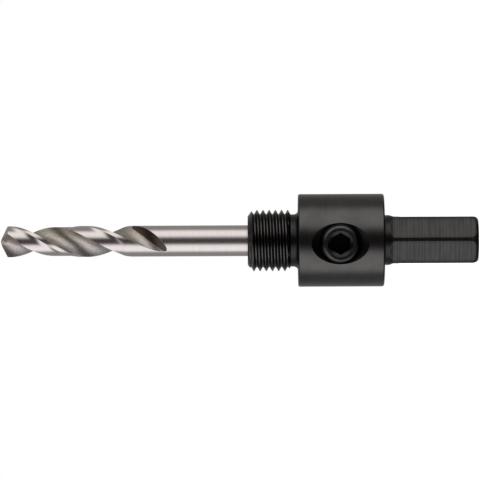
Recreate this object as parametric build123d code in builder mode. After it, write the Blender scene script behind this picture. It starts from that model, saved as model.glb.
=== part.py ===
"""Hole saw arbor with its pilot drill and set screw.

All sizes are millimetres. +Z runs along the arbor's axis, from the hexagonal end to the drill's
tip. The origin is the middle of the hexagonal end's flat face, one corner of the hexagon faces -Y,
and the set screw looks out of the collar near -Y.
"""

import os
from math import asin, cos, degrees, radians, sin, sqrt, tan

from build123d import *

# Hexagonal shank, milled from a turned bar
hex_across_flats = 9.525
hex_bar_diameter = 10.67
hex_end_round = 1.0
hex_bar_end_chamfer = 0.7
flat_length = 17.2
flat_runout_radius = 1.5
flat_runout_angle = 25
shank_length = 19.4
neck_diameter = 10.26
neck_length = 1.3
neck_taper_length = 0.4

# Collar
collar_diameter = 19.05
collar_length = 17.65
collar_back_chamfer = 0.45

# Nose: a 1/2-20 thread with a relief groove between it and the collar. Each turn is a plain ring
nose_length = 10.37
nose_thread_diameter = 12.57
thread_pitch = 1.27
thread_crest_width = 0.16
thread_depth = 0.81
nose_chamfer_width = 1.3
nose_chamfer_length = 0.95
relief_diameter = 10.75
relief_length = 1.55
relief_corner_length = 0.4
shoulder_clearance = 0.01
thread_end_slope_length = 0.5

# Pilot drill
drill_diameter = 6.35
drill_reach = 50.8
drill_seat_depth = 25.4
drill_rear_chamfer = 0.5
drill_bore_clearance = 0.025
drilled_point_angle = 118

# Drill point and flutes. Angles are degrees
flute_lead = 32.3
flute_length = 34.2
flute_angle = 111
land_angle = 180 - flute_angle
web_at_tip = 1.0
web_at_runout = 1.9
heel_bulge = 0.42
runout_wheel_radius = 20
point_angle = 127
point_relief = 0.25
lip_turn = -5.8
margin_angle = 15.7
body_clearance = 0.21
clearance_length = 25.4
clearance_fade = 2.0

# The notch that splits the point: the wall behind each lip, and the short inner cutting edge
split_half_width = 0.12
split_edge_angle = 23
split_edge_rake = 0.3
split_wall_reach = 0.74
split_wall_back = 0.6
split_wall_normal = (-0.568, -0.712, 0.412)

# Set screw, 5/16 in across its thread
screw_diameter = 7.9375
screw_length = 6.35
screw_socket_across_flats = 3.97
screw_socket_depth = 3.2
screw_socket_chamfer = 0.35
screw_top_chamfer = 0.35
screw_cup_diameter = 3.8
screw_tip_diameter = 4.1
screw_clearance = 0.05
screw_from_collar_front = 8.55
screw_turn = 5.9
hole_countersink_diameter = 11.8
hole_bottom_height = 2.0

# Heights along the axis
collar_back = shank_length
collar_front = collar_back + collar_length
relief_end = collar_front + relief_length
nose_face = collar_front + nose_length
drill_rear = nose_face - drill_seat_depth
drill_tip = nose_face + drill_reach
screw_height = collar_front - screw_from_collar_front

# The thread's grooves: each one's half width is this share of its depth
groove_half_width = (thread_pitch - thread_crest_width) / 2
groove_slope = groove_half_width / thread_depth
thread_start = relief_end + thread_end_slope_length
thread_end = nose_face - nose_chamfer_length
first_groove = thread_start + thread_crest_width + groove_half_width
groove_count = int((thread_end - first_groove) / thread_pitch) + 1
groove_heights = [first_groove + index * thread_pitch for index in range(groove_count)]

# Half sizes
hex_half = hex_across_flats / 2
hex_bar_radius = hex_bar_diameter / 2
neck_radius = neck_diameter / 2
collar_radius = collar_diameter / 2
nose_radius = nose_thread_diameter / 2
relief_radius = relief_diameter / 2
drill_radius = drill_diameter / 2
bore_radius = drill_radius + drill_bore_clearance
# The shoulder's flat face starts just outside the thread's crests, so a saw's plate lies on it
shoulder_inner_radius = nose_radius + shoulder_clearance
screw_radius = screw_diameter / 2
hole_radius = screw_radius + screw_clearance
socket_corner_radius = screw_socket_across_flats / sqrt(3)

# A cutter stands this far outside what it cuts. The helical cutters are lofted through sections
# no further apart than these, with the flute's cutting face drawn in this many steps
spare = 1.0
flute_section_spacing = 2.4
clearance_section_spacing = 1.2
face_steps = 4
drilled_slope = 1 / tan(radians(drilled_point_angle / 2))

# The cross hole's own direction, and the plane that holds it and the arbor's axis
screw_direction = Vector(-sin(radians(screw_turn)), -cos(radians(screw_turn)), 0)
screw_middle = Vector(0, 0, screw_height)
screw_axis = Axis(screw_middle, screw_direction)
screw_section = Plane(screw_middle, x_dir=(0, 0, 1), z_dir=Vector(0, 0, 1).cross(screw_direction))
screw_tip_height = drill_radius
screw_top_height = screw_tip_height + screw_length


def turned(angle, x, y):
    """The point (x, y) turned by an angle in degrees about the axis."""
    c, s = cos(radians(angle)), sin(radians(angle))
    return (c * x - s * y, s * x + c * y)


def polar(radius, angle):
    """The point at a radius and an angle in degrees."""
    return turned(angle, radius, 0)


# One mill cut: a flat with a rounded lower end, and at its top the cutter's run-out to the neck
with BuildPart() as flat_cutter:
    with BuildSketch(Plane.XZ):
        with BuildLine():
            inner = hex_half - hex_end_round
            lead_in = Line((inner, -spare), (inner, 0))
            end_round = JernArc(lead_in @ 1, (1, 0), hex_end_round, 90)
            face = Line(end_round @ 1, (hex_half, flat_length))
            runout = JernArc(face @ 1, (0, 1), flat_runout_radius, -flat_runout_angle)
            rise_radius = hex_bar_radius - (runout @ 1).X
            rise = rise_radius / tan(radians(flat_runout_angle))
            slope_end = (hex_bar_radius, (runout @ 1).Y + rise)
            Polyline(
                runout @ 1,
                slope_end,
                (hex_bar_radius + spare, slope_end[1]),
                (hex_bar_radius + spare, -spare),
                lead_in @ 0,
            )
        make_face()
    extrude(amount=hex_bar_radius, both=True)

# The bar: turned profile, six milled flats, drill bore and set screw hole
with BuildPart() as arbor_body:
    with BuildSketch(Plane.XZ) as turned_profile:
        with BuildLine():
            Polyline(
                (0, 0),
                (hex_bar_radius, 0),
                (hex_bar_radius, shank_length - neck_length - neck_taper_length),
                (neck_radius, shank_length - neck_length),
                (neck_radius, collar_back),
                (collar_radius, collar_back),
                (collar_radius, collar_front),
                (shoulder_inner_radius, collar_front),
                (relief_radius, collar_front + relief_corner_length),
                (relief_radius, relief_end),
                (nose_radius, thread_start),
                (nose_radius, thread_end),
                (nose_radius - nose_chamfer_width, nose_face),
                (0, nose_face),
                close=True,
            )
        make_face()
        # Each corner is found by its radius and height
        for radius, height, size in (
            (hex_bar_radius, 0, hex_bar_end_chamfer),
            (collar_radius, collar_back, collar_back_chamfer),
        ):
            chamfer(turned_profile.vertices().sort_by_distance((radius, height))[0], size)
    revolve(axis=Axis.Z)
    with BuildSketch(Plane.XZ):
        with Locations([(nose_radius, height) for height in groove_heights]):
            Polygon(
                (-thread_depth, 0),
                (spare, -groove_slope * (thread_depth + spare)),
                (spare, groove_slope * (thread_depth + spare)),
            )
    revolve(axis=Axis.Z, mode=Mode.SUBTRACT)
    with PolarLocations(0, 6):
        add(flat_cutter.part, mode=Mode.SUBTRACT)
    with BuildSketch(Plane.XZ):
        with BuildLine():
            Polyline(
                (0, nose_face + spare),
                (bore_radius, nose_face + spare),
                (bore_radius, drill_rear),
                (0, drill_rear - bore_radius * drilled_slope),
                close=True,
            )
        make_face()
    revolve(axis=Axis.Z, mode=Mode.SUBTRACT)
    with BuildSketch(screw_section):
        with BuildLine():
            sink_radius = hole_countersink_diameter / 2
            sink_depth = (sink_radius - hole_radius) * drilled_slope
            Polyline(
                (0, collar_radius + spare),
                (sink_radius, collar_radius + spare),
                (sink_radius, collar_radius),
                (hole_radius, collar_radius - sink_depth),
                (hole_radius, hole_bottom_height),
                (0, hole_bottom_height - hole_radius * drilled_slope),
                close=True,
            )
        make_face()
    revolve(axis=screw_axis, mode=Mode.SUBTRACT)

# The set screw: hexagonal socket at the top, and a cup point whose rim rests on the drill's shank
with BuildPart() as set_screw:
    with BuildSketch(screw_section):
        with BuildLine():
            tip_radius = screw_tip_diameter / 2
            cup_radius = screw_cup_diameter / 2
            mouth = socket_corner_radius + screw_socket_chamfer
            Polyline(
                (0, screw_top_height - mouth * drilled_slope),
                (mouth, screw_top_height),
                (screw_radius - screw_top_chamfer, screw_top_height),
                (screw_radius, screw_top_height - screw_top_chamfer),
                (screw_radius, screw_tip_height + screw_radius - tip_radius),
                (tip_radius, screw_tip_height),
                (cup_radius, screw_tip_height),
                (0, screw_tip_height + cup_radius * drilled_slope),
                close=True,
            )
        make_face()
    revolve(axis=screw_axis)
    socket_top = screw_middle + screw_direction * screw_top_height
    with BuildSketch(Plane(socket_top, x_dir=(0, 0, 1), z_dir=screw_direction)):
        RegularPolygon(screw_socket_across_flats / 2, 6, major_radius=False, rotation=30)
    extrude(amount=-screw_socket_depth, mode=Mode.SUBTRACT)

# The drill point's geometry. Both lips are straight, half a web ahead of the axis
lip_slope = 1 / tan(radians(point_angle / 2))
lip_start = drill_tip + point_relief * web_at_tip / 2
turn_per_mm = 360 / flute_lead
flute_end = drill_tip - flute_length
runout_depth = drill_radius - web_at_runout / 2
runout_start = flute_end + sqrt(runout_depth * (2 * runout_wheel_radius - runout_depth))
corner_start = degrees(asin(web_at_tip / 2 / drill_radius)) + turn_per_mm * lip_slope * sqrt(
    drill_radius**2 - web_at_tip**2 / 4
)


def corner_angle(height):
    """The angle of the first land's leading edge at a height. The lead is right-hand."""
    return corner_start + turn_per_mm * (height - lip_start)


def face_point(web, reach):
    """A point of the flute's cutting face in the section, a reach along the lip from its start."""
    return turned(turn_per_mm * lip_slope * reach, reach, web / 2)


def flute_section(height):
    """The flute's outline at a height: cutting face, heel side, and a closing arc outside."""
    done = min(max((drill_tip - height) / (drill_tip - runout_start), 0), 1)
    web = web_at_tip + (web_at_runout - web_at_tip) * done
    rim = sqrt(drill_radius**2 - web**2 / 4)
    edge = degrees(asin(web / 2 / drill_radius)) + turn_per_mm * lip_slope * rim
    turn = corner_angle(height) - edge
    lift = 0
    if height < runout_start:
        drop = runout_start - height
        lift = runout_wheel_radius - sqrt(runout_wheel_radius**2 - drop**2)
    away = Vector(*polar(lift, edge + flute_angle / 2))
    reach = rim + spare
    steps = range(face_steps, -1, -1)
    face_points = [Vector(*face_point(web, reach * step / face_steps)) + away for step in steps]
    heel = Vector(*polar(drill_radius + spare, edge + flute_angle)) + away
    chord = heel - face_points[-1]
    bulge = Vector(chord.Y, -chord.X, 0).normalized() * heel_bulge
    heel_middle = face_points[-1] + chord / 2 - bulge
    far = Vector(*polar(drill_radius + 2 * spare, edge + flute_angle / 2)) + away
    with BuildSketch(Plane.XY.offset(height).rotated((0, 0, turn))) as section:
        with BuildLine():
            Spline(*face_points)
            ThreePointArc(face_points[-1], heel_middle, heel)
            ThreePointArc(heel, far, face_points[0])
        make_face()
    return section.sketch


def clearance_section(height):
    """The band behind the margin, ground a little below the drill's diameter."""
    fade = max(clearance_end + clearance_fade - height, 0) / clearance_fade
    floor = drill_radius - body_clearance * (1 - fade**2)
    outer = drill_radius + spare
    start = corner_angle(height) - margin_angle
    end = corner_angle(height) - land_angle - margin_angle / 2
    middle = (start + end) / 2
    with BuildSketch(Plane.XY.offset(height)) as section:
        with BuildLine():
            Line(polar(floor, start), polar(outer, start))
            ThreePointArc(polar(outer, start), polar(outer, middle), polar(outer, end))
            Line(polar(outer, end), polar(floor, end))
            ThreePointArc(polar(floor, end), polar(floor, middle), polar(floor, start))
        make_face()
    return section.sketch


def heights(low, high, spacing):
    """Evenly spaced heights for the loft sections, from low to high."""
    count = int((high - low) / spacing) + 1
    return [low + (high - low) * index / count for index in range(count + 1)]


flute_heights = heights(flute_end - spare / 2, drill_tip + spare, flute_section_spacing)
with BuildPart() as flute_cutter:
    loft([flute_section(level) for level in flute_heights])

clearance_end = drill_tip - clearance_length
clearance_heights = heights(clearance_end, drill_tip + spare, clearance_section_spacing)
with BuildPart() as clearance_cutter:
    loft([clearance_section(level) for level in clearance_heights])

# The ground flank behind the first lip
block = 4 * drill_radius
with BuildPart() as flank_cutter:
    with BuildSketch(Plane((0, 0, drill_tip), z_dir=(lip_slope, -point_relief, 1))):
        Rectangle(block, block)
    extrude(amount=block)

# The split: all that lies behind the wall plane and ahead of the other lip's inner edge
wall_point = (
    split_wall_reach,
    -split_wall_back,
    drill_tip - lip_slope * split_wall_reach - point_relief * split_wall_back,
)
split_edge_normal = (
    sin(radians(split_edge_angle)),
    -cos(radians(split_edge_angle)),
    split_edge_rake,
)
with BuildPart() as split_cutter:
    with BuildSketch(Plane(wall_point, z_dir=split_wall_normal)):
        Rectangle(block, block)
    extrude(amount=block)
    with BuildSketch(Plane((0, -split_half_width, drill_tip), z_dir=split_edge_normal)):
        Rectangle(block, block)
    extrude(amount=block, mode=Mode.INTERSECT)

# The pilot drill: round shank, body clearance, two flutes and the point
with BuildPart() as pilot_drill:
    with BuildSketch(Plane.XZ):
        with BuildLine():
            Polyline(
                (0, drill_rear),
                (drill_radius - drill_rear_chamfer, drill_rear),
                (drill_radius, drill_rear + drill_rear_chamfer),
                (drill_radius, drill_tip),
                (0, drill_tip),
                close=True,
            )
        make_face()
    revolve(axis=Axis.Z)
    with PolarLocations(0, 2, start_angle=lip_turn):
        add(clearance_cutter.part, mode=Mode.SUBTRACT)
        add(flute_cutter.part, mode=Mode.SUBTRACT)
        add(flank_cutter.part, mode=Mode.SUBTRACT)
        add(split_cutter.part, mode=Mode.SUBTRACT)

arbor_body.part.label = "arbor_body"
pilot_drill.part.label = "pilot_drill"
set_screw.part.label = "set_screw"

os.makedirs("parts", exist_ok=True)
export_step(arbor_body.part, "parts/arbor_body.step")
export_step(pilot_drill.part, "parts/pilot_drill.step")
export_step(set_screw.part, "parts/set_screw.step")
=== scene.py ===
"""Hole saw arbor with its pilot drill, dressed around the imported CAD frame.

Sizes are millimetres until a mesh is made, and +Z runs along the arbor from the hexagonal end to the
drill's tip. The three pieces are built here in the CAD's sizes, with the forms that are too fine for
the solids: helical threads, small rounded edges, and the drill's smooth flutes with their long run-out
and the curve behind each margin.
"""

import math

import bpy
import bmesh
import numpy as np
from mathutils import Matrix, Vector


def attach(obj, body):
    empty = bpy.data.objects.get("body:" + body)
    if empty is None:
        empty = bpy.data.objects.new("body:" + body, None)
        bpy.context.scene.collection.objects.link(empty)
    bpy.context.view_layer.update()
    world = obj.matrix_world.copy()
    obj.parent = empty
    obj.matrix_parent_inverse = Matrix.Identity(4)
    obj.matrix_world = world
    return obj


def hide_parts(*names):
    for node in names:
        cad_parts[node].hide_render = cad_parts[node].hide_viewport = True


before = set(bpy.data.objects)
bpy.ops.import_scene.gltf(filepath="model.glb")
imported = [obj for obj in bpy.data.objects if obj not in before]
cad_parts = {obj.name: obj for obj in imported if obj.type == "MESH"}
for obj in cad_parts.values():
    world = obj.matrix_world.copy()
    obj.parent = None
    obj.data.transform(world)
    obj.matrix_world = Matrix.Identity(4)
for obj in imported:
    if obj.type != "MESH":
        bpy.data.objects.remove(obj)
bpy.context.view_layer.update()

MM = 0.001
SIXTH = math.radians(60)

# Hexagonal shank
HEX_HALF = 9.525 / 2
HEX_BAR_RADIUS = 5.3
HEX_END_ROUND = 1.0
BAR_END_ROUND = 1.6
BAR_END_ROWS = (1.12, 1.25, 1.4, BAR_END_ROUND)
FLAT_LENGTH = 17.2
FLAT_RUNOUT_RADIUS = 1.5
FLAT_RUNOUT_ANGLE = math.radians(25)
NECK_RADIUS = 5.13
NECK_START = 18.1
NECK_TAPER_START = 17.7
NECK_FILLET = 0.35

# Collar
COLLAR_BACK = 19.4
COLLAR_FRONT = 37.05
COLLAR_RADIUS = 9.525
COLLAR_BACK_ROUND = 0.45
COLLAR_FRONT_ROUND = 0.35

# Nose
RELIEF_RADIUS = 5.375
RELIEF_END = 38.6
RELIEF_FILLET = 0.92
THREAD_RADIUS = 6.285
THREAD_PITCH = 1.27
THREAD_DEPTH = 0.81
THREAD_PHASE = 42.975
THREAD_END_SLOPE = 0.5
NOSE_FACE = 47.42
NOSE_CHAMFER_WIDTH = 1.3
NOSE_CHAMFER_LENGTH = 0.95

# Bore for the drill
BORE_RADIUS = 3.2
BORE_MOUTH = 0.3
BORE_BOTTOM = 22.02
DRILLED_ANGLE = math.radians(59)
DRILLED_SLOPE = 1 / math.tan(DRILLED_ANGLE)

# Set screw and its hole
SCREW_HEIGHT = 28.5
SCREW_TURN = math.radians(5.9)
SCREW_RADIUS = 7.9375 / 2
SCREW_PITCH = 25.4 / 18
SCREW_DEPTH = 0.86
SCREW_TIP = 3.175
SCREW_TOP = 9.525
SCREW_CHAMFER = 0.7
SCREW_CHAMFER_SLOPE = 1.3
SCREW_TIP_RADIUS = 2.05
SCREW_CUP_RADIUS = 1.9
SCREW_PHASE = 0.3
SOCKET_HALF = 3.97 / 2
SOCKET_CHAMFER = 0.35
SOCKET_DEPTH = 3.2
HOLE_GAP = 0.05
HOLE_MINOR_RADIUS = 3.3
HOLE_BOTTOM = 2.0
HOLE_TOP = 11.0
SINK_RADIUS = 5.9

# Drill
DRILL_RADIUS = 3.175
DRILL_REAR = 22.02
DRILL_REAR_CHAMFER = 0.5
DRILL_TIP = 98.22
FLUTE_LENGTH = 34.2
FLUTE_ANGLE = math.radians(100)
TURN_PER_MM = 2 * math.pi / 32.3
WEB_AT_TIP = 1.0
WEB_AT_RUNOUT = 1.9
HEEL_BULGE = 0.42
RUNOUT_WHEEL = 60.0
RUNOUT_OPENING = math.radians(30)
RUNOUT_FLATTENING = 0.8
LIP_SLOPE = 1 / math.tan(math.radians(63.5))
POINT_RELIEF = 0.25
LIP_TURN = math.radians(-5.8)
MARGIN_ANGLE = math.radians(15.7)
BODY_CLEARANCE = 0.21
CLEARANCE_LENGTH = 25.4
CLEARANCE_FADE = 2.0
MARGIN_FOOT = 2.4

# The flute's bottom is rounded this much. Between two heights above the flute's end the round becomes
# a crease.
WEB_ROUND = 0.7
ROUND_FADE = (7, 10)

# The wheel's corner in the run-out, in the frame of the photograph's view: (offset, height) of one of
# its points, and its slope
RUNOUT_CREASE = (-2.1, 64.71)
WHEEL_SLOPE = 0.73

# The notches that split the drill's point
SPLIT_HALF_WIDTH = 0.12
SPLIT_EDGE = (math.sin(math.radians(23)), -math.cos(math.radians(23)), 0.3)
SPLIT_REACH = 0.74
SPLIT_BACK = 0.6
SPLIT_WALL = (-0.493, -0.653, 0.5755)
CUTTER_SIZE = 14.0

# The photograph's view is turned this much about the arbor's axis from looking along +Y
VIEW_TURN = math.radians(-1.3)

# How finely the meshes are divided
COLUMNS = 192
SCREW_COLUMNS = 96
FLAT_STEPS = 6
FLUTE_STEPS = 48
FACE_POINTS = 160
HEEL_POINTS = 200
FLUTE_POINTS = 400
MARGIN_POINTS = 7
FOOT_POINTS = 9
LAND_POINTS = 32
RUNOUT_ROWS = 30
RUNOUT_ROW_HEIGHT = 0.06
FLUTE_ROWS = 170
BAR_SMOOTH_ANGLE = 28
DRILL_SMOOTH_ANGLE = 24

# Meshes run a little past the flutes' end and the point, and surfaces are told apart with this slack
PAST_FLUTE = 0.3
PAST_POINT = 0.4
SLACK = 0.01


# Mesh building


class Shell:
    """Collects grids of points and welds them into one closed mesh."""

    def __init__(self):
        self.points = []
        self.faces = []

    def grid(self, rows):
        """Quads between rows of points. Each row is a closed ring."""
        rows = np.asarray(rows, float)
        count, columns = rows.shape[:2]
        start = len(self.points)
        self.points.extend(map(tuple, rows.reshape(-1, 3)))
        for i in range(count - 1):
            for j in range(columns):
                a = start + i * columns + j
                b = start + i * columns + (j + 1) % columns
                self.faces.append((a, b, b + columns, a + columns))

    def open_grid(self, rows):
        """Quads between rows of points that don't close on themselves."""
        rows = np.asarray(rows, float)
        count, columns = rows.shape[:2]
        start = len(self.points)
        self.points.extend(map(tuple, rows.reshape(-1, 3)))
        for i in range(count - 1):
            for j in range(columns - 1):
                a = start + i * columns + j
                self.faces.append((a, a + 1, a + 1 + columns, a + columns))

    def mesh(self, name):
        """One welded mesh in metres, with its normals outward."""
        points = np.round(np.array(self.points), 5)
        unique, back = np.unique(points, axis=0, return_inverse=True)
        back = back.ravel()
        faces = []
        for face in self.faces:
            corners = []
            for k in (int(back[i]) for i in face):
                if k not in corners:
                    corners.append(k)
            if len(corners) > 2:
                faces.append(corners)
        made = bpy.data.meshes.new(name)
        made.from_pydata((unique * MM).tolist(), [], faces)
        made.validate()
        tidy(made)
        return made


def tidy(mesh):
    """Welds what lies together, points the faces outward and drops points that no face uses."""
    bm = bmesh.new()
    bm.from_mesh(mesh)
    bmesh.ops.remove_doubles(bm, verts=bm.verts, dist=0.0002 * MM)
    loose = [v for v in bm.verts if not v.link_faces]
    bmesh.ops.delete(bm, geom=loose, context="VERTS")
    bmesh.ops.recalc_face_normals(bm, faces=bm.faces)
    bm.to_mesh(mesh)
    bm.free()


def ring(radius, height, angles):
    """A ring of points. radius and height are numbers or one value for each angle."""
    height = np.broadcast_to(height, angles.shape)
    return np.stack([radius * np.cos(angles), radius * np.sin(angles), height], axis=1)


def rounded(corners, count=6):
    """A profile of (radius, height, rounding) corners as (radius, height) points."""
    out = []
    for i, (x, y, size) in enumerate(corners):
        here = np.array([x, y], float)
        if not size or i in (0, len(corners) - 1):
            out.append(here)
            continue
        before = np.array(corners[i - 1][:2]) - here
        after = np.array(corners[i + 1][:2]) - here
        before /= np.linalg.norm(before)
        after /= np.linalg.norm(after)
        half = math.acos(float(np.clip(before @ after, -1, 1))) / 2
        middle = before + after
        middle /= np.linalg.norm(middle)
        centre = here + middle * size / math.sin(half)
        one = here + before * size / math.tan(half) - centre
        two = here + after * size / math.tan(half) - centre
        total = math.atan2(one[0] * two[1] - one[1] * two[0], one @ two)
        for k in range(count + 1):
            a = total * k / count
            c, s = math.cos(a), math.sin(a)
            out.append(centre + np.array([c * one[0] - s * one[1], s * one[0] + c * one[1]]))
    return out


def lathe(shell, profile, angles):
    """Rings along a profile of (radius, height) points."""
    shell.grid([ring(max(r, 0), z, angles) for r, z in profile])


def thread_rows(pitch, depth, low, high, phase):
    """Row offsets that follow the helix, from one turn below low to one above high."""
    root = pitch / 16 + depth / math.sqrt(3)
    half = np.unique([0, pitch / 16, root, *np.linspace(pitch / 16, root, 9), pitch / 2])
    turn = np.unique(np.round([*half, *(pitch - half[1:-1])], 6))
    first = math.floor((low - phase) / pitch) - 1
    last = math.ceil((high - phase) / pitch) + 1
    return np.concatenate([phase + k * pitch + turn for k in range(first, last + 1)])


def thread_radius(major, depth, pitch, phase, height, turns):
    """The thread's radius at a height and an angle in turns: crest, 60 degree flanks and root."""
    u = (height - phase) / pitch - turns
    u = np.abs(u - np.round(u)) * pitch
    return np.maximum(major - np.maximum(u - pitch / 16, 0) * math.sqrt(3), major - depth)


def thread(shell, major, depth, pitch, low, high, phase, limit, angles, bound=np.minimum):
    """A helical thread between two heights. limit gives the turned outline's radius at a height."""
    turns = np.append(angles, 2 * math.pi) / (2 * math.pi)
    rows = []
    for offset in thread_rows(pitch, depth, low, high, phase):
        height = np.clip(offset + pitch * turns, low, high)
        radius = thread_radius(major, depth, pitch, phase, height, turns)
        rows.append(ring(bound(radius, limit(height)), height, turns * 2 * math.pi))
    shell.open_grid(rows)


# The bar


def flat_profile():
    """The mill cut's (half width, height) points, from the end face to where it leaves the bar."""
    points = []
    for k in range(9):
        a = math.radians(90) * k / 8
        points.append((HEX_HALF - HEX_END_ROUND * (1 - math.sin(a)), HEX_END_ROUND * (1 - math.cos(a))))
    points.append((HEX_HALF, FLAT_LENGTH))
    for k in range(1, 7):
        a = FLAT_RUNOUT_ANGLE * k / 6
        out = FLAT_RUNOUT_RADIUS * (1 - math.cos(a))
        points.append((HEX_HALF + out, FLAT_LENGTH + FLAT_RUNOUT_RADIUS * math.sin(a)))
    x, z = points[-1]
    slope = math.tan(FLAT_RUNOUT_ANGLE)
    end = z + (NECK_RADIUS - x) / slope
    for height in (NECK_START, end):
        if height > z:
            points.append((x + (height - z) * slope, height))
    return points


def bar_radius(height):
    """The turned bar's radius behind the collar."""
    if height < BAR_END_ROUND:
        drop = BAR_END_ROUND - height
        return HEX_BAR_RADIUS - BAR_END_ROUND + math.sqrt(BAR_END_ROUND**2 - drop**2)
    if height < NECK_TAPER_START:
        return HEX_BAR_RADIUS
    if height < NECK_START:
        done = (height - NECK_TAPER_START) / (NECK_START - NECK_TAPER_START)
        return HEX_BAR_RADIUS + (NECK_RADIUS - HEX_BAR_RADIUS) * done
    return NECK_RADIUS


def hexagon_rows():
    """The hexagonal shank: six flats with a strip of the turned bar left between them."""
    strip_steps = COLUMNS // 6
    known_x, known_z = zip(*flat_profile())
    heights = sorted({round(z, 6) for z in known_z} | {NECK_TAPER_START, *BAR_END_ROWS})
    rows = []
    for z in heights:
        x = float(np.interp(z, known_z, known_x))
        r = bar_radius(z)
        x = r if x > r - 0.001 else x
        corner = min(math.acos(x / r), SIXTH / 2)
        strip_radius = r if corner < SIXTH / 2 else x / math.cos(corner)
        points = []
        for k in range(6):
            middle = SIXTH * k
            for a in np.linspace(-corner, corner, FLAT_STEPS + 1):
                points.append((min(r, x / math.cos(a)), middle + a))
            gap = SIXTH - 2 * corner
            for a in (np.arange(1, strip_steps) / strip_steps) * gap:
                points.append((strip_radius, middle + corner + a))
        rows.append([(q * math.cos(a), q * math.sin(a), z) for q, a in points])
    return rows


def nose_limit(height):
    """The nose's turned outline: the run-in from the relief, the crest and the end chamfer."""
    run_in = RELIEF_RADIUS + (height - RELIEF_END) * (THREAD_RADIUS - RELIEF_RADIUS) / THREAD_END_SLOPE
    chamfer = THREAD_RADIUS - NOSE_CHAMFER_WIDTH
    chamfer = chamfer + (NOSE_FACE - height) * NOSE_CHAMFER_WIDTH / NOSE_CHAMFER_LENGTH
    return np.minimum(np.minimum(run_in, chamfer), THREAD_RADIUS)


def bar_mesh():
    """The whole bar in one shell, before the cross hole is cut."""
    shell = Shell()
    angles = np.arange(COLUMNS) * 2 * math.pi / COLUMNS
    rows = hexagon_rows()
    shell.grid([[(0, 0, 0)] * len(rows[0])] + [rows[0]])
    shell.grid(rows)
    start = rows[-1][0][2]
    profile = rounded([
        (NECK_RADIUS, start, 0),
        (NECK_RADIUS, COLLAR_BACK, NECK_FILLET),
        (COLLAR_RADIUS, COLLAR_BACK, COLLAR_BACK_ROUND),
        (COLLAR_RADIUS, COLLAR_FRONT, COLLAR_FRONT_ROUND),
        (RELIEF_RADIUS, COLLAR_FRONT, RELIEF_FILLET),
        (RELIEF_RADIUS, RELIEF_END, 0),
    ])
    lathe(shell, profile, angles)
    thread(shell, THREAD_RADIUS, THREAD_DEPTH, THREAD_PITCH, RELIEF_END, NOSE_FACE, THREAD_PHASE,
           nose_limit, angles)
    bore = [
        (THREAD_RADIUS - NOSE_CHAMFER_WIDTH, NOSE_FACE),
        (BORE_RADIUS + BORE_MOUTH, NOSE_FACE),
        (BORE_RADIUS, NOSE_FACE - BORE_MOUTH),
        (BORE_RADIUS, BORE_BOTTOM),
        (0, BORE_BOTTOM - BORE_RADIUS * DRILLED_SLOPE),
    ]
    lathe(shell, bore, angles)
    return shell.mesh("bar")


# The set screw and its hole


def sink_radius(height):
    """The countersink's radius at a height along the screw's axis."""
    return SINK_RADIUS - (COLLAR_RADIUS - height) / DRILLED_SLOPE


def screw_frame():
    """The set screw's frame: x along the arbor, z out of the collar."""
    out = np.array([-math.sin(SCREW_TURN), -math.cos(SCREW_TURN), 0])
    along = np.array([0, 0, 1.0])
    return np.stack([along, np.cross(out, along), out], axis=1), np.array([0, 0, SCREW_HEIGHT])


def placed(mesh):
    """Moves a mesh from the screw's frame to the arbor's."""
    turn, middle = screw_frame()
    points = np.empty(len(mesh.vertices) * 3)
    mesh.vertices.foreach_get("co", points)
    points = points.reshape(-1, 3) @ turn.T + middle * MM
    mesh.vertices.foreach_set("co", points.ravel())
    mesh.update()
    return mesh


def hole_mesh():
    """What the countersunk, tapped cross hole takes out of the collar."""
    shell = Shell()
    angles = np.arange(SCREW_COLUMNS) * 2 * math.pi / SCREW_COLUMNS
    major = SCREW_RADIUS + HOLE_GAP
    depth = major - HOLE_MINOR_RADIUS
    meet = COLLAR_RADIUS - (SINK_RADIUS - major) * DRILLED_SLOPE
    lathe(shell, [(0, HOLE_TOP), (sink_radius(HOLE_TOP), HOLE_TOP), (major, meet)], angles)
    thread(shell, major, depth, SCREW_PITCH, HOLE_BOTTOM, meet, SCREW_PHASE,
           sink_radius, angles, np.maximum)
    foot = thread_radius(major, depth, SCREW_PITCH, SCREW_PHASE, HOLE_BOTTOM, angles / (2 * math.pi))
    point = HOLE_BOTTOM - HOLE_MINOR_RADIUS * DRILLED_SLOPE
    shell.grid([ring(foot, HOLE_BOTTOM, angles), ring(0, point, angles)])
    return placed(shell.mesh("hole"))


def screw_limit(height):
    """The set screw's turned outline: the tip's cone, the crest and the top chamfer."""
    tip = SCREW_TIP_RADIUS + (height - SCREW_TIP)
    top = SCREW_RADIUS - SCREW_CHAMFER + (SCREW_TOP - height) * SCREW_CHAMFER_SLOPE
    return np.minimum(np.minimum(tip, top), SCREW_RADIUS)


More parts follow.
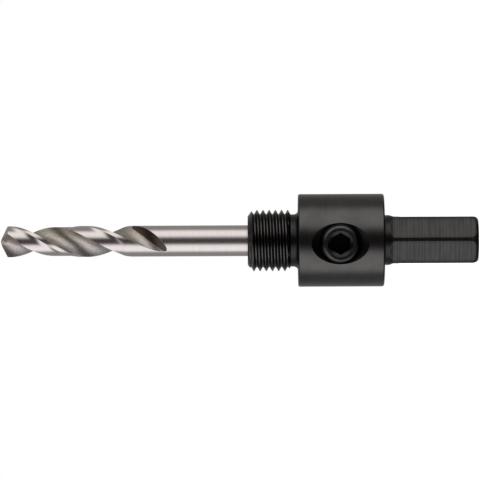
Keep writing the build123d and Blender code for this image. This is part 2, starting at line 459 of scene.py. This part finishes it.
def screw_mesh():
    """The set screw with its thread, cup point and hexagonal socket."""
    shell = Shell()
    angles = np.arange(SCREW_COLUMNS) * 2 * math.pi / SCREW_COLUMNS
    thread(shell, SCREW_RADIUS, SCREW_DEPTH, SCREW_PITCH, SCREW_TIP, SCREW_TOP, SCREW_PHASE,
           screw_limit, angles)
    lathe(shell, [
        (SCREW_TIP_RADIUS, SCREW_TIP),
        (SCREW_CUP_RADIUS, SCREW_TIP),
        (0, SCREW_TIP + SCREW_CUP_RADIUS * DRILLED_SLOPE),
    ], angles)
    mouth = SOCKET_HALF / math.cos(SIXTH / 2) + SOCKET_CHAMFER
    # The socket's corners lie across the arbor's axis
    hexagon = SOCKET_HALF / np.cos((angles + SIXTH / 2) % SIXTH - SIXTH / 2)
    edge = SCREW_TOP - (mouth - hexagon) * DRILLED_SLOPE
    floor = SCREW_TOP - SOCKET_DEPTH
    turns = angles / (2 * math.pi)
    crest = thread_radius(SCREW_RADIUS, SCREW_DEPTH, SCREW_PITCH, SCREW_PHASE, SCREW_TOP, turns)
    shell.grid([
        ring(np.minimum(crest, screw_limit(SCREW_TOP)), SCREW_TOP, angles),
        ring(mouth, SCREW_TOP, angles),
        ring(hexagon, edge, angles),
        ring(hexagon, floor, angles),
        ring(0, floor, angles),
    ])
    return placed(shell.mesh("screw"))


# Cuts and normals


def as_object(data, name):
    """A mesh, a light or a camera as an object of the scene."""
    made = bpy.data.objects.new(name, data)
    bpy.context.scene.collection.objects.link(made)
    return made


def cut(mesh, cutter):
    """mesh less cutter, both closed. It stops the script when the result has lost the piece."""
    before = len(mesh.vertices)
    one, two = as_object(mesh, "one"), as_object(cutter, "two")
    boolean = one.modifiers.new("cut", "BOOLEAN")
    boolean.operation = "DIFFERENCE"
    boolean.solver = "EXACT"
    boolean.object = two
    bpy.context.view_layer.update()
    result = bpy.data.meshes.new_from_object(one.evaluated_get(bpy.context.evaluated_depsgraph_get()))
    for spent in (one, two):
        bpy.data.objects.remove(spent)
    if len(result.vertices) < before / 2:
        raise RuntimeError("a cut took the piece away")
    return result


def smooth(mesh, degrees):
    """Smooth faces, with sharp edges where they turn by more than an angle."""
    mesh.shade_smooth()
    mesh.set_sharp_from_angle(angle=math.radians(degrees))


def steady_normals(mesh):
    """Gives the collar's outside and the countersink true normals, so the cut leaves no trace."""
    turn, middle = screw_frame()
    corners = np.array([tuple(n.vector) for n in mesh.corner_normals])
    points = np.array([tuple(v.co) for v in mesh.vertices]) / MM
    cone = math.cos(DRILLED_ANGLE), math.sin(DRILLED_ANGLE)
    for face in mesh.polygons:
        spots = points[list(face.vertices)]
        radii = np.hypot(spots[:, 0], spots[:, 1])
        loops = range(face.loop_start, face.loop_start + face.loop_total)
        inside = spots[:, 2].min() > COLLAR_BACK + COLLAR_BACK_ROUND - 1e-3
        inside = inside and spots[:, 2].max() < COLLAR_FRONT - COLLAR_FRONT_ROUND + 1e-3
        if inside and np.abs(radii - COLLAR_RADIUS).max() < 0.004:
            for loop, spot, r in zip(loops, spots, radii):
                corners[loop] = (spot[0] / r, spot[1] / r, 0)
            continue
        local = (spots - middle) @ turn
        r = np.hypot(local[:, 0], local[:, 1])
        if r.min() > SCREW_RADIUS - 0.1 and np.abs(r - sink_radius(local[:, 2])).max() < SLACK:
            for loop, spot, q in zip(loops, local, r):
                # The wall looks towards the screw's axis and outward
                normal = np.array([-spot[0] / q * cone[0], -spot[1] / q * cone[0], cone[1]])
                corners[loop] = turn @ normal
    mesh.normals_split_custom_set(corners.tolist())


# The drill


def resampled(curve, at):
    """A curve's points at fractional indices."""
    return np.stack([np.interp(at, np.arange(len(curve)), curve[:, i]) for i in (0, 1)], axis=1)


def flute_curve(height):
    """The flute's whole curve at a height, from past its leading edge to past its heel.

    The second value is the crease's index on the curve, or None where the bottom is rounded.
    """
    flute_end = DRILL_TIP - FLUTE_LENGTH
    depth = DRILL_RADIUS - WEB_AT_RUNOUT / 2
    runout = flute_end + math.sqrt(depth * (2 * RUNOUT_WHEEL - depth))
    done = min(max((DRILL_TIP - height) / (DRILL_TIP - runout), 0), 1)
    drop = max(runout - height, 0)
    out = drop / (runout - flute_end)
    web = WEB_AT_TIP + (WEB_AT_RUNOUT - WEB_AT_TIP) * done
    rim = math.sqrt(DRILL_RADIUS**2 - web**2 / 4)
    edge = math.asin(web / 2 / DRILL_RADIUS) + TURN_PER_MM * LIP_SLOPE * rim
    start_rim = math.sqrt(DRILL_RADIUS**2 - WEB_AT_TIP**2 / 4)
    start = math.asin(WEB_AT_TIP / 2 / DRILL_RADIUS) + TURN_PER_MM * LIP_SLOPE * start_rim
    corner = start + TURN_PER_MM * (height - DRILL_TIP - POINT_RELIEF * WEB_AT_TIP / 2) + LIP_TURN

    # The cutting face inward, then the heel's side outward
    reach = np.linspace(rim + 1, 0, FACE_POINTS)
    swing = TURN_PER_MM * LIP_SLOPE * reach
    face = np.stack([reach * np.cos(swing) - web / 2 * np.sin(swing),
                     reach * np.sin(swing) + web / 2 * np.cos(swing)], axis=1)
    heel_angle = edge + FLUTE_ANGLE + RUNOUT_OPENING * out
    bulge = HEEL_BULGE * (1 - RUNOUT_FLATTENING * out)
    heel = (DRILL_RADIUS + 1) * np.array([math.cos(heel_angle), math.sin(heel_angle)])
    chord = heel - face[-1]
    span = float(np.linalg.norm(chord))
    side = np.array([chord[1], -chord[0]]) / span
    s = np.linspace(0, 1, HEEL_POINTS)[1:, None]
    radius = (span**2 / 4 + bulge**2) / (2 * bulge)
    sag = np.sqrt(radius**2 - (span * (s - 0.5)) ** 2) - (radius - bulge)
    curve = np.concatenate([face, face[-1] + chord * s - side * sag])
    length = np.append(0, np.cumsum(np.linalg.norm(np.diff(curve, axis=0), axis=1)))
    even = np.linspace(0, length[-1], FLUTE_POINTS)
    crease = length[len(face) - 1] / even[1]
    curve = np.stack([np.interp(even, length, curve[:, i]) for i in (0, 1)], axis=1)

    # The grinding wheel rounds the flute's bottom, less and less in the run-out
    low, high = ROUND_FADE
    size = WEB_ROUND * min(max((height - flute_end - low) / (high - low), 0), 1)
    half = int(round(size / even[1]))
    if half:
        crease = None
        kernel = np.ones(2 * half + 1) / (2 * half + 1)
        smoothed = np.stack([np.convolve(curve[:, i], kernel, "valid") for i in (0, 1)], axis=1)
        curve[half:-half] = smoothed
    lift = RUNOUT_WHEEL - math.sqrt(RUNOUT_WHEEL**2 - drop**2)
    away = edge + FLUTE_ANGLE / 2
    curve = curve + lift * np.array([math.cos(away), math.sin(away)])
    turn = corner - edge
    c, s = math.cos(turn), math.sin(turn)
    return curve @ np.array([[c, s], [-s, c]]), crease


def drill_section(height):
    """The drill's outline at a height as a closed ring: land, flute, land, flute."""
    curve, crease = flute_curve(height)
    clearance_end = DRILL_TIP - CLEARANCE_LENGTH
    fade = min(max((clearance_end + CLEARANCE_FADE - height) / CLEARANCE_FADE, 0), 1)
    clearance = BODY_CLEARANCE * (1 - fade**2)

    # The flute from the leading edge at the full radius to the heel at the land's radius
    far = np.hypot(curve[:, 0], curve[:, 1])
    within = np.nonzero(far < DRILL_RADIUS - clearance)[0]
    if len(within) < 3:
        nearest = curve[np.argmin(far)]
        lead = heel_end = math.atan2(nearest[1], nearest[0])
        point = [DRILL_RADIUS * math.cos(lead), DRILL_RADIUS * math.sin(lead)]
        flute = np.repeat([point], FLUTE_STEPS + 1, axis=0)
    else:
        first = np.nonzero(far < DRILL_RADIUS)[0][0]
        last = within[-1]
        low = first - (DRILL_RADIUS - far[first]) / (far[first - 1] - far[first])
        high = last + (DRILL_RADIUS - clearance - far[last]) / (far[last + 1] - far[last])
        at = np.linspace(low, high, FLUTE_STEPS + 1)
        if crease is not None and low < crease < high:
            at[1 + np.argmin(np.abs(at[1:-1] - crease))] = crease
        flute = resampled(curve, at)
        lead = math.atan2(flute[0, 1], flute[0, 0])
        heel_end = math.atan2(flute[-1, 1], flute[-1, 0])
        while heel_end < lead:
            heel_end += 2 * math.pi

    # The land lies behind the leading edge: the margin, its concave foot, and the body clearance
    # down to the other flute's heel
    foot = math.sqrt(MARGIN_FOOT**2 - (MARGIN_FOOT - BODY_CLEARANCE) ** 2) / DRILL_RADIUS
    behind = np.concatenate([
        np.linspace(0, MARGIN_ANGLE, MARGIN_POINTS),
        MARGIN_ANGLE + np.linspace(0, foot, FOOT_POINTS)[1:],
        np.linspace(MARGIN_ANGLE + foot, lead - heel_end + math.pi, LAND_POINTS)[1:],
    ])
    run = np.clip((MARGIN_ANGLE + foot - behind) * DRILL_RADIUS, 0, MARGIN_FOOT)
    rise = MARGIN_FOOT - np.sqrt(MARGIN_FOOT**2 - run**2)
    under = np.where(behind <= MARGIN_ANGLE, 0, np.maximum(BODY_CLEARANCE - rise, 0))
    land = DRILL_RADIUS - under * (1 - fade**2)
    angles = lead - behind
    land = np.stack([land * np.cos(angles), land * np.sin(angles)], axis=1)
    # From the land's heel the other flute leads in to that flute's own leading edge
    half_ring = np.concatenate([land[:-1], -flute[::-1][:-1]])
    ring_points = np.concatenate([half_ring, -half_ring])
    return np.concatenate([ring_points, np.full((len(ring_points), 1), height)], axis=1)


def half_space(point, normal):
    """A block that stands on a plane."""
    normal = Vector(normal).normalized()
    turn = normal.to_track_quat("Z", "Y").to_matrix().to_4x4()
    bm = bmesh.new()
    bmesh.ops.create_cube(bm, size=CUTTER_SIZE)
    bmesh.ops.translate(bm, verts=bm.verts, vec=(0, 0, CUTTER_SIZE / 2))
    bmesh.ops.transform(bm, matrix=Matrix.Translation(Vector(point)) @ turn, verts=bm.verts)
    return bm


def point_cutters():
    """The blocks that grind the drill's point: two notches, then two flanks."""
    flank = half_space((0, 0, DRILL_TIP), (LIP_SLOPE, -POINT_RELIEF, 1))
    wall_height = DRILL_TIP - LIP_SLOPE * SPLIT_REACH - POINT_RELIEF * SPLIT_BACK
    notch = half_space((SPLIT_REACH, -SPLIT_BACK, wall_height), SPLIT_WALL)
    geometry = bmesh.ops.bisect_plane(
        notch, geom=list(notch.verts) + list(notch.edges) + list(notch.faces),
        plane_co=(0, -SPLIT_HALF_WIDTH, DRILL_TIP), plane_no=SPLIT_EDGE, clear_inner=True)
    cut_edges = [g for g in geometry["geom_cut"] if isinstance(g, bmesh.types.BMEdge)]
    bmesh.ops.edgenet_fill(notch, edges=cut_edges)
    meshes = []
    for bm in (notch, flank):
        for half in (0, math.pi):
            made = bpy.data.meshes.new("cutter")
            bm.to_mesh(made)
            made.transform(Matrix.Scale(MM, 4) @ Matrix.Rotation(LIP_TURN + half, 4, "Z"))
            tidy(made)
            meshes.append(made)
        bm.free()
    return meshes


def drill_mesh():
    """The drill: a plain shank, the fluted body, and the point ground by cuts."""
    shell = Shell()
    start = DRILL_TIP - FLUTE_LENGTH - PAST_FLUTE
    heights = np.concatenate([
        start + np.arange(RUNOUT_ROWS) * RUNOUT_ROW_HEIGHT,
        np.linspace(start + RUNOUT_ROWS * RUNOUT_ROW_HEIGHT, DRILL_TIP + PAST_POINT, FLUTE_ROWS),
    ])
    rows = [drill_section(z) for z in heights]
    spokes = rows[0] / np.array([DRILL_RADIUS, DRILL_RADIUS, 1])
    shank = [
        (0, DRILL_REAR),
        (DRILL_RADIUS - DRILL_REAR_CHAMFER, DRILL_REAR),
        (DRILL_RADIUS, DRILL_REAR + DRILL_REAR_CHAMFER),
    ]
    shank = [np.insert(spokes[:, :2] * r, 2, z, axis=1) for r, z in shank]
    shell.grid(shank + rows)
    # One face closes the end, because a fan of triangles would cross the flutes
    shell.faces.append(range(len(shell.points) - len(spokes), len(shell.points)))
    mesh = shell.mesh("drill")
    for cutter in point_cutters():
        mesh = cut(mesh, cutter)
    return mesh


# The three pieces

bar = cut(bar_mesh(), hole_mesh())
smooth(bar, BAR_SMOOTH_ANGLE)
steady_normals(bar)
arbor = as_object(bar, "arbor_body_dressed")
screw_data = screw_mesh()
smooth(screw_data, BAR_SMOOTH_ANGLE)
screw = as_object(screw_data, "set_screw_dressed")
drill_data = drill_mesh()
smooth(drill_data, DRILL_SMOOTH_ANGLE)
drill = as_object(drill_data, "pilot_drill_dressed")


# Materials


class Graph:
    """Short names for building a material's nodes."""

    def __init__(self, name):
        self.material = bpy.data.materials.new(name)
        self.material.use_nodes = True
        self.tree = self.material.node_tree
        self.tree.nodes.clear()
        self.out = self.tree.nodes.new("ShaderNodeOutputMaterial")
        self.shader = self.tree.nodes.new("ShaderNodeBsdfPrincipled")
        self.link(self.shader.outputs["BSDF"], self.out.inputs["Surface"])
        coordinates = self.tree.nodes.new("ShaderNodeTexCoord")
        self.place = self.vector("SCALE", coordinates.outputs["Object"], scale=1000)
        self.normal = coordinates.outputs["Normal"]

    def link(self, source, target):
        self.tree.links.new(source, target)

    def put(self, socket, value):
        if isinstance(value, bpy.types.NodeSocket):
            self.link(value, socket)
        else:
            socket.default_value = value

    def vector(self, operation, one, two=None, scale=None):
        node = self.tree.nodes.new("ShaderNodeVectorMath")
        node.operation = operation
        self.put(node.inputs[0], one)
        if two is not None:
            self.put(node.inputs[1], two)
        if scale is not None:
            self.put(node.inputs["Scale"], scale)
        return node.outputs["Value" if operation == "LENGTH" else "Vector"]

    def math(self, operation, one, two=None, three=None):
        node = self.tree.nodes.new("ShaderNodeMath")
        node.operation = operation
        for socket, value in zip(node.inputs, (one, two, three)):
            if value is not None:
                self.put(socket, value)
        return node.outputs[0]

    def noise(self, vector, scale, detail, roughness=0.55):
        node = self.tree.nodes.new("ShaderNodeTexNoise")
        self.put(node.inputs["Vector"], vector)
        node.inputs["Scale"].default_value = scale
        node.inputs["Detail"].default_value = detail
        node.inputs["Roughness"].default_value = roughness
        return node.outputs["Fac"]

    def spread(self, value, low, high, to_low=0.0, to_high=1.0):
        """The value's range from low to high, stretched to another range and held at its ends."""
        node = self.tree.nodes.new("ShaderNodeMapRange")
        self.put(node.inputs["Value"], value)
        for name, v in (("From Min", low), ("From Max", high), ("To Min", to_low), ("To Max", to_high)):
            self.put(node.inputs[name], v)
        return node.outputs["Result"]

    def mix(self, amount, one, two):
        """A blend of two colours. Inputs 6 and 7 and output 2 are the node's colour sockets."""
        node = self.tree.nodes.new("ShaderNodeMix")
        node.data_type = "RGBA"
        self.put(node.inputs["Factor"], amount)
        self.put(node.inputs[6], one)
        self.put(node.inputs[7], two)
        return node.outputs[2]

    def split(self, vector):
        node = self.tree.nodes.new("ShaderNodeSeparateXYZ")
        self.link(vector, node.inputs[0])
        return node.outputs

    def join(self, x, y, z):
        node = self.tree.nodes.new("ShaderNodeCombineXYZ")
        for socket, value in zip(node.inputs, (x, y, z)):
            self.put(socket, value)
        return node.outputs[0]

    def turned(self, x, y, angle):
        """Two coordinates turned about the third."""
        c, s = math.cos(angle), math.sin(angle)
        one = self.math("SUBTRACT", self.math("MULTIPLY", x, c), self.math("MULTIPLY", y, s))
        two = self.math("ADD", self.math("MULTIPLY", x, s), self.math("MULTIPLY", y, c))
        return one, two

    def bump(self, height, distance, normal=None):
        node = self.tree.nodes.new("ShaderNodeBump")
        node.inputs["Strength"].default_value = 1.0
        node.inputs["Distance"].default_value = distance * MM
        self.put(node.inputs["Height"], height)
        if normal is not None:
            self.link(normal, node.inputs["Normal"])
        return node.outputs["Normal"]

    def finish(self, **values):
        for name, value in values.items():
            self.put(self.shader.inputs[name.replace("_", " ")], value)
        return self.material


# Pairs of limits between which a surface changes, in millimetres of radius, height or depth
SHADED_THREAD_RADII = (3.58, 3.66)
SHADED_SOCKET_RADII = (2.58, 2.66)
SOCKET_DEEP = (0.35, 0.5)
LAND_HEIGHTS = (72.5, 73.5)
LAND_RADII = (3.15, 2.9)
LAND_EDGE = (-0.01, 0.01)
HEEL_SHADE_EDGE = (-0.04, 0.04)
HEEL_SHADE_RADII = (3.15, 3.165)
HEEL_SHADE_END = (72.0, 72.2)

# The painted shade's near-black tone, and how much of that painted shade the socket has at its mouth
PAINTED_SHADE_BLACK = (0.012, 0.012, 0.012)
SOCKET_MOUTH_SHARE = 0.7


def screw_painted_shade(g):
    """1 on the outer part of the set screw's thread and in its socket, where shade is painted dark: the
    thread's outer part lies in the hole's shade, and the socket is a recess.
    """
    x, y, z = g.split(g.place)
    side, outward = g.turned(x, y, SCREW_TURN)
    radius = g.vector("LENGTH", g.join(side, g.math("SUBTRACT", z, SCREW_HEIGHT), 0.0))
    start, end = SOCKET_DEEP
    below = g.spread(outward, start - SCREW_TOP, end - SCREW_TOP)
    socket = g.spread(radius, *SHADED_SOCKET_RADII, 1.0, 0.0)
    socket = g.math("MULTIPLY", socket, g.math("MAXIMUM", below, SOCKET_MOUTH_SHARE))
    return g.math("MAXIMUM", g.spread(radius, *SHADED_THREAD_RADII), socket)


def oxide(name, dark, light, rough, marks, pitch, streaks=0.3, shade=None):
    """Black oxide over machined steel: cutter marks across the axis, pitch apart, and a fine grain."""
    g = Graph(name)
    blotch = g.noise(g.place, 0.3, 4)
    grain = g.noise(g.place, 7.0, 4, 0.7)
    line = g.noise(g.vector("MULTIPLY", g.place, (0.05, 0.05, 1 / pitch)), 1.0, 5, 0.7)
    tone = g.math("ADD", g.math("MULTIPLY", blotch, 0.8 - streaks), g.math("MULTIPLY", grain, 0.2))
    tone = g.math("ADD", tone, g.math("MULTIPLY", line, streaks))
    colour = g.mix(g.spread(tone, 0.35, 0.65), (*dark, 1), (*light, 1))
    # Painted shade: where shade(g) is 1 the colour goes to near black
    if shade:
        colour = g.mix(shade(g), colour, (*PAINTED_SHADE_BLACK, 1))
    wear = g.math("ADD", g.math("MULTIPLY", grain, 0.5), g.math("MULTIPLY", line, 0.5))
    roughness = g.spread(wear, 0.3, 0.7, rough - 0.04, rough + 0.06)
    normal = g.bump(line, marks)
    normal = g.bump(grain, 0.002, normal=normal)
    return g.finish(Base_Color=colour, Metallic=1.0, Roughness=roughness, Normal=normal)


turned = oxide("black_oxide_turned", (0.075, 0.073, 0.072), (0.105, 0.102, 0.1), 0.24, 0.0015, 0.2)
milled = oxide("black_oxide_milled", (0.03, 0.03, 0.03), (0.094, 0.092, 0.092), 0.4, 0.02, 0.24,
               streaks=0.65)
# The neck, the relief groove and the end face are painted darker than the turned oxide, as shade
grooved = oxide("black_oxide_grooves_painted_shade", (0.026, 0.026, 0.026), (0.048, 0.047, 0.047), 0.3, 0.002, 0.2)
# The countersunk, tapped hole is painted near black as shade
sunk = oxide("black_oxide_hole_painted_shade", PAINTED_SHADE_BLACK, (0.02, 0.02, 0.02), 0.35, 0.001, 0.2)
# The set screw's outer thread ring and its socket get painted shade
black_screw = oxide("black_screw_steel", (0.06, 0.059, 0.06), (0.1, 0.098, 0.098), 0.26, 0.001, 0.2,
                    shade=screw_painted_shade)


def bright_steel():
    """The drill's steel: ground lands and point, milled flutes, and painted shade on the run-out's heel
    sides.
    """
    g = Graph("bright_drill_steel")
    x, y, z = g.split(g.place)
    radius = g.vector("LENGTH", g.join(x, y, 0.0))
    # The land stands outside the flutes: at the full radius, or behind the margins a little inside it
    inside = g.math("SUBTRACT", radius, g.spread(z, *LAND_HEIGHTS, *LAND_RADII))
    milled_part = g.spread(inside, *LAND_EDGE, 1.0, 0.0)
    # The point's two flanks face the tip and are ground
    facing = g.split(g.normal)[2]
    flute = g.math("MULTIPLY", milled_part, g.spread(facing, 0.6, 0.75, 1.0, 0.0))
    grain = g.noise(g.place, 3.2, 5, 0.65)
    line = g.noise(g.vector("MULTIPLY", g.place, (0.1, 0.1, 6.0)), 1.0, 4, 0.6)
    grained = g.spread(grain, 0.3, 0.7)
    ground = g.mix(g.spread(line, 0.3, 0.7), (0.63, 0.58, 0.57, 1), (0.7, 0.65, 0.64, 1))
    # Painted light on the flutes: warmer towards +x, cooler and a little lighter towards -x
    warm = g.mix(grained, (0.33, 0.295, 0.25, 1), (0.62, 0.57, 0.5, 1))
    cool = g.mix(grained, (0.38, 0.335, 0.34, 1), (0.64, 0.58, 0.59, 1))
    milled_tone_by_side = g.mix(g.spread(x, 0.6, -1.2), warm, cool)
    colour = g.mix(flute, ground, milled_tone_by_side)
    # In the run-out each heel's side is painted dark brown as shade, and its grain bump is left out. The
    # wheel's corner is a plane, and the other flute's is the same half a turn on.
    across, near = g.turned(x, y, -VIEW_TURN)
    across = g.math("MULTIPLY", across, g.math("MULTIPLY", g.math("SIGN", near), -1.0))
    start, height = RUNOUT_CREASE
    corner_at = g.math("MULTIPLY_ADD", z, WHEEL_SLOPE, start - WHEEL_SLOPE * height)
    heel_shade = g.spread(g.math("SUBTRACT", across, corner_at), *HEEL_SHADE_EDGE)
    heel_shade = g.math("MULTIPLY", heel_shade, g.spread(radius, *HEEL_SHADE_RADII, 1.0, 0.0))
    heel_shade = g.math("MULTIPLY", heel_shade, g.spread(z, *HEEL_SHADE_END, 1.0, 0.0))
    heel_shade_brown = g.mix(grained, (0.075, 0.055, 0.047, 1), (0.105, 0.08, 0.07, 1))
    colour = g.mix(heel_shade, colour, heel_shade_brown)
    rough = g.math("ADD", 0.25, g.math("MULTIPLY", flute, 0.16))
    relief = g.math("MULTIPLY", g.math("MULTIPLY", grain, flute), g.math("SUBTRACT", 1.0, heel_shade))
    normal = g.bump(relief, 0.02)
    return g.finish(Base_Color=colour, Metallic=1.0, Roughness=rough, Normal=normal)


drill_steel = bright_steel()


def dress(obj, *materials):
    """Gives an object its materials."""
    obj.data.materials.clear()
    for material in materials:
        obj.data.materials.append(material)


OUTSIDE, FLATS, GROOVES, HOLE = range(4)
dress(arbor, turned, milled, grooved, sunk)
turn, hole_middle = screw_frame()
corners = np.array([tuple(v.co) for v in arbor.data.vertices]) / MM
for face in arbor.data.polygons:
    spots = corners[list(face.vertices)]
    radii = np.hypot(spots[:, 0], spots[:, 1])
    middle = spots[:, 2].mean()
    in_relief = COLLAR_FRONT < middle < RELIEF_END and radii.min() > BORE_RADIUS + 1
    if SLACK < middle < NECK_START:
        face.material_index = FLATS if radii.min() < HEX_BAR_RADIUS - SLACK else OUTSIDE
    # The neck, the relief groove and the end face take the grooves' painted shade
    elif middle < COLLAR_BACK or in_relief:
        face.material_index = GROOVES
    # Faces in the countersunk hole take its painted shade
    local = (spots - hole_middle) @ turn
    in_hole = np.hypot(local[:, 0], local[:, 1]).max() < SINK_RADIUS + 0.3
    in_hole = in_hole and local[:, 2].min() > HOLE_BOTTOM - 0.1
    if in_hole and BORE_RADIUS + SLACK < radii.min() < COLLAR_RADIUS - SLACK:
        face.material_index = HOLE

dress(screw, black_screw)
dress(drill, drill_steel)

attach(arbor, "arbor")
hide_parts("arbor_body")
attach(screw, "screw")
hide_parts("set_screw")
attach(drill, "drill")
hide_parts("pilot_drill")


# Studio


def plain(name, colour):
    """A matt material."""
    material = bpy.data.materials.new(name)
    material.use_nodes = True
    shader = material.node_tree.nodes["Principled BSDF"]
    shader.inputs["Base Color"].default_value = (*colour, 1)
    shader.inputs["Roughness"].default_value = 0.9
    shader.inputs["Specular IOR Level"].default_value = 0.0
    return material


# Light in the studio by angle from the camera's side, towards +X, and by height above the view's level
LIGHT_BY_ANGLE = (
    (-180, 0.33), (-100, 0.3), (-92, 0.36), (-80, 1.1), (-70, 1.3), (-38, 1.2), (-30, 0.85), (-22, 0.25),
    (-14, 0.03), (14, 0.03), (24, 0.25), (33, 0.85), (42, 1.15), (70, 1.2), (82, 0.95), (92, 0.4),
    (100, 0.3), (180, 0.33),
)
LIGHT_BY_HEIGHT = (
    (-90, 0.03), (-60, 0.05), (-40, 0.35), (-24, 1.0), (24, 1.0), (40, 0.7), (60, 0.5), (90, 0.25),
)
GAP_LIGHT = (0.02, 0.011, 0.01)
TENT_RADIUS = 0.8
BOX_DISTANCE = 0.8
FLOOR_RADIUS = 0.5


def tent():
    """The light tent round the object. Only reflections show it."""
    bm = bmesh.new()
    bmesh.ops.create_uvsphere(bm, u_segments=120, v_segments=60, radius=TENT_RADIUS)
    mesh = bpy.data.meshes.new("tent")
    bm.to_mesh(mesh)
    bm.free()
    points = np.array([tuple(v.co) for v in mesh.vertices])
    azimuth = np.degrees(np.arctan2(points[:, 0], -points[:, 1]))
    height = np.degrees(np.arcsin(np.clip(points[:, 2] / TENT_RADIUS, -1, 1)))
    by_height = np.interp(height, *zip(*LIGHT_BY_HEIGHT))
    level = np.interp(azimuth, *zip(*LIGHT_BY_ANGLE)) * by_height
    attribute = mesh.color_attributes.new("level", "FLOAT_COLOR", "POINT")
    warm = np.interp(azimuth, (-40, 40), (0, 0.02))
    colours = np.stack([level * (1 + warm), level, level * (1 - warm), np.ones_like(level)], axis=1)
    # The gap behind the camera is a dim, slightly warm wall
    gap = np.interp(azimuth, (-22, -14, 14, 24), (0, 1, 1, 0)) * by_height
    colours[:, :3] += gap[:, None] * np.array(GAP_LIGHT)
    attribute.data.foreach_set("color", colours.ravel())
    material = bpy.data.materials.new("tent_light")
    material.use_nodes = True
    nodes, links = material.node_tree.nodes, material.node_tree.links
    nodes.clear()
    out = nodes.new("ShaderNodeOutputMaterial")
    shine = nodes.new("ShaderNodeEmission")
    stored = nodes.new("ShaderNodeAttribute")
    stored.attribute_name = "level"
    links.new(stored.outputs["Color"], shine.inputs["Color"])
    links.new(shine.outputs[0], out.inputs[0])
    material.cycles.emission_sampling = "NONE"
    made = as_object(mesh, "tent")
    made.location = (0, 0, 0.049)
    made.rotation_euler = (0, 0, VIEW_TURN)
    dress(made, material)
    made.visible_camera = False
    made.visible_shadow = False
    made.visible_diffuse = False
    made.visible_transmission = False


tent()


def floor_material():
    """A white floor that keeps the object's shadow."""
    material = plain("floor_white", (0.9, 0.9, 0.9))
    nodes, links = material.node_tree.nodes, material.node_tree.links
    lift = nodes.new("ShaderNodeEmission")
    path = nodes.new("ShaderNodeLightPath")
    scaled = nodes.new("ShaderNodeMath")
    scaled.operation = "MULTIPLY"
    scaled.inputs[1].default_value = 0.55
    links.new(path.outputs["Is Camera Ray"], scaled.inputs[0])
    links.new(scaled.outputs[0], lift.inputs["Strength"])
    both = nodes.new("ShaderNodeAddShader")
    links.new(nodes["Principled BSDF"].outputs[0], both.inputs[0])
    links.new(lift.outputs[0], both.inputs[1])
    links.new(both.outputs[0], nodes["Material Output"].inputs["Surface"])
    return material


floor_angles = np.arange(96) * 2 * math.pi / 96
floor_mesh = bpy.data.meshes.new("floor")
floor_mesh.from_pydata(ring(FLOOR_RADIUS, 0, floor_angles).tolist(), [], [tuple(range(96))])
floor = as_object(floor_mesh, "floor")
dress(floor, floor_material())
floor.visible_glossy = False


def softbox(name, azimuth, elevation, size, power):
    """A square light above the floor that reflections don't show."""
    data = bpy.data.lights.new(name, "AREA")
    data.shape = "SQUARE"
    data.size = size
    data.energy = power
    made = as_object(data, name)
    a, e = math.radians(azimuth), math.radians(elevation)
    back = Vector((math.sin(a) * math.cos(e), -math.cos(a) * math.cos(e), math.sin(e)))
    made.location = back * BOX_DISTANCE + Vector((0, 0, 0.05))
    made.rotation_mode = "QUATERNION"
    made.rotation_quaternion = (-back).to_track_quat("-Z", "Y")
    made.visible_glossy = False


softbox("upper_box", 60, 55, 0.7, 4)
softbox("lower_box", -60, 55, 0.7, 4)


def studio_world():
    """White for the camera, reflections and glass, and softer as light."""
    world = bpy.data.worlds.new("studio")
    world.use_nodes = True
    nodes, links = world.node_tree.nodes, world.node_tree.links
    nodes.clear()
    path = nodes.new("ShaderNodeLightPath")
    seen = path.outputs["Is Camera Ray"]
    for name in ("Is Glossy Ray", "Is Transmission Ray"):
        either = nodes.new("ShaderNodeMath")
        either.operation = "MAXIMUM"
        links.new(seen, either.inputs[0])
        links.new(path.outputs[name], either.inputs[1])
        seen = either.outputs[0]
    blend = nodes.new("ShaderNodeMixShader")
    links.new(seen, blend.inputs[0])
    for slot, strength in ((1, 0.6), (2, 1.0)):
        light = nodes.new("ShaderNodeBackground")
        light.inputs["Color"].default_value = (1, 1, 1, 1)
        light.inputs["Strength"].default_value = strength
        links.new(light.outputs[0], blend.inputs[slot])
    out = nodes.new("ShaderNodeOutputWorld")
    links.new(blend.outputs[0], out.inputs["Surface"])
    return world


bpy.context.scene.world = studio_world()


# Camera

camera_data = bpy.data.cameras.new("camera")
camera_data.sensor_width = 36
camera_data.lens = 364.6
camera_data.clip_end = 10
camera = as_object(camera_data, "camera")
roll = math.radians(-0.26)
right = Vector((math.sin(roll), 0, -math.cos(roll)))
up = Vector((math.cos(roll), 0, math.sin(roll)))
back = Vector((0, -1, 0))
pose = Matrix((right, up, back)).transposed().to_4x4()
pose.translation = Vector((0.000175, -1.0, 0.0490))
camera.matrix_world = Matrix.Rotation(VIEW_TURN, 4, "Z") @ pose
bpy.context.scene.camera = camera
bpy.context.scene.view_settings.view_transform = "Standard"
